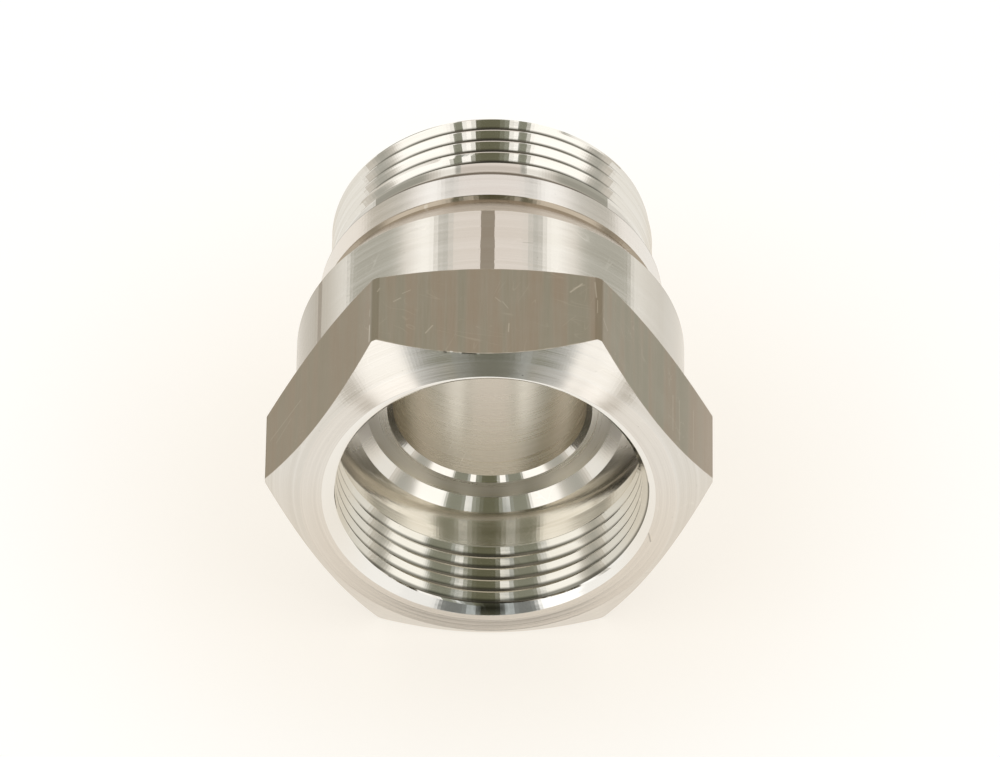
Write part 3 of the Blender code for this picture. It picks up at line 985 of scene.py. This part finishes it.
def make_camera():
    """Camera 1.3 m away and 44 degrees above the floor, looking into the socket."""
    tilt = math.radians(CAMERA_TILT)
    swing = math.radians(CAMERA_SWING)
    roll = math.radians(CAMERA_ROLL)
    level = math.cos(tilt)
    ahead = Vector((math.sin(swing) * level, math.cos(swing) * level, -math.sin(tilt)))
    right = Vector((math.cos(swing), -math.sin(swing), 0.0))
    up = right.cross(ahead)
    across = right * math.cos(roll) + up * math.sin(roll)
    over = up * math.cos(roll) - right * math.sin(roll)
    place = Vector(CAMERA_TARGET) - ahead * CAMERA_DISTANCE
    camera = bpy.data.objects.new("camera", bpy.data.cameras.new("camera"))
    camera.data.lens = CAMERA_LENS
    camera.data.sensor_width = CAMERA_SENSOR
    camera.data.clip_start = CAMERA_CLIP
    axes = Matrix((across, over, -ahead)).transposed()
    camera.matrix_world = Matrix.Translation(place) @ axes.to_4x4()
    bpy.context.scene.collection.objects.link(camera)
    bpy.context.scene.camera = camera


def make_finishes():
    """Every finish on the adapter, by the name of the tree input that takes it."""
    groups = {"round_place": make_round_place()}
    groups["turning_marks"] = make_turning_marks(groups["round_place"])
    groups["scuffs"] = make_scuffs()
    groups["edge_wear"] = make_edge_wear()
    groups["cut_line"] = make_cut_line()
    plain = ((229, 225, 218), (219, 214, 205))
    pale = ((236, 233, 229), (226, 222, 217))
    tan = ((198, 186, 170), (186, 173, 156))
    # painted shade: the bevel's darker paint stands in for the dark line where it falls into shade
    bevel = ((174, 162, 145), (162, 149, 132))
    faced = ((227, 221, 213), (216, 209, 200))
    chamfer = ((224, 219, 212), (213, 207, 198))
    soft = ((199, 193, 184), (187, 180, 170))
    bored = ((221, 215, 203), (212, 206, 193))
    stepped = ((246, 243, 237), (239, 235, 227))
    corner = ((245, 241, 234), (236, 231, 222))
    relief = ((222, 218, 208), (212, 207, 196))
    cut = ((216, 212, 202), (207, 202, 190))

    def metal(name, paints, *sizes, **extras):
        light, dark = paints
        return turned_metal(name, groups, paint(*light), paint(*dark), *sizes, **extras)

    skin = [(90.1, 2.06), (150.4, 1.1)]
    # painted shade: the collar, the bore and the neck turn darker or warmer toward their sides
    wear_and_shade = (0.68, 0.9, 0.9, 0.47, paint(160, 149, 131))
    olive = (0.66, 0.96, 0.6, 0.05, paint(118, 110, 78))
    warm = (0.3, 0.7, 0.6, 0.3, paint(226, 214, 200))
    return {
        "Faced": metal("faced_metal", faced, 9.0, 0.07, 0.15, 0.5, (-0.4, -0.66), marks=FACE_MARKS),
        "Chamfered": metal("chamfered_metal", chamfer, 9.0, 0.07, 0.15, 0.5, marks=NICKS),
        "Collared": metal(
            "collar_metal", plain, 7.0, 0.06, 0.15, 0.6, marks=COLLAR_MARKS, strips=skin, sides=wear_and_shade
        ),
        "Tapered": metal("taper_metal", tan, 8.0, 0.05, 0.2, 0.4),
        "Beveled": metal("bevel_metal", bevel, 8.0, 0.04, 0.12, 0.3, spread=0.075),
        "Turned": metal(
            "turned_metal", pale, 7.0, 0.06, 0.22, 0.6, stains=[(26.46, 0.07, 0.8)], sides=warm
        ),
        "Banded": metal("band_metal", soft, 7.0, 0.08, 0.24, 0.4, stains=[(27.65, 0.13, 0.85)]),
        "Threaded": metal(
            "threaded_metal", plain, 6.0, 0.03, 0.08, 0.3,
            roots=(14.52, 14.34, 0.9), spread=0.075, stains=[(28.3, 0.4, 0.2)]
        ),
        "Bored": metal("bored_metal", bored, 6.0, 0.03, 0.28, 0.5, sides=olive),
        "Stepped": metal("stepped_metal", stepped, 8.0, 0.06, 0.3, 0.3),
        "Shouldered": metal("shoulder_metal", corner, 8.0, 0.04, 0.14, 0.3, (0.0, 0.25), dull=0.3),
        "Relieved": metal("relief_metal", relief, 8.0, 0.04, 0.14, 0.3, (0.0, -0.15), dull=0.45),
        "Sloped": metal("sloped_metal", plain, 8.0, 0.03, 0.09, 0.3, (0.0, -0.3), dull=0.4),
        "Lipped": metal("lipped_metal", plain, 8.0, 0.02, 0.07, 0.3, dull=0.25),
        "Socket Threaded": metal(
            "socket_thread_metal", cut, 6.0, 0.03, 0.09, 0.3,
            marks=MOUTH_DARK_REFLECTION, roots=(14.58, 14.78, 0.78), mouth=-0.5
        ),
        "Drawn": drawn_metal("drawn_metal", groups),
    }


def main():
    bpy.context.scene.view_settings.view_transform = "Standard"
    finishes = make_finishes()
    inputs = SIZES | {"Columns": COLUMNS} | finishes
    body = grown_mesh("adapter_turned", make_adapter_tree(finishes), inputs)
    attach(body, "root")
    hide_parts("adapter_body")
    make_floor()
    make_studio()
    make_camera()


main()
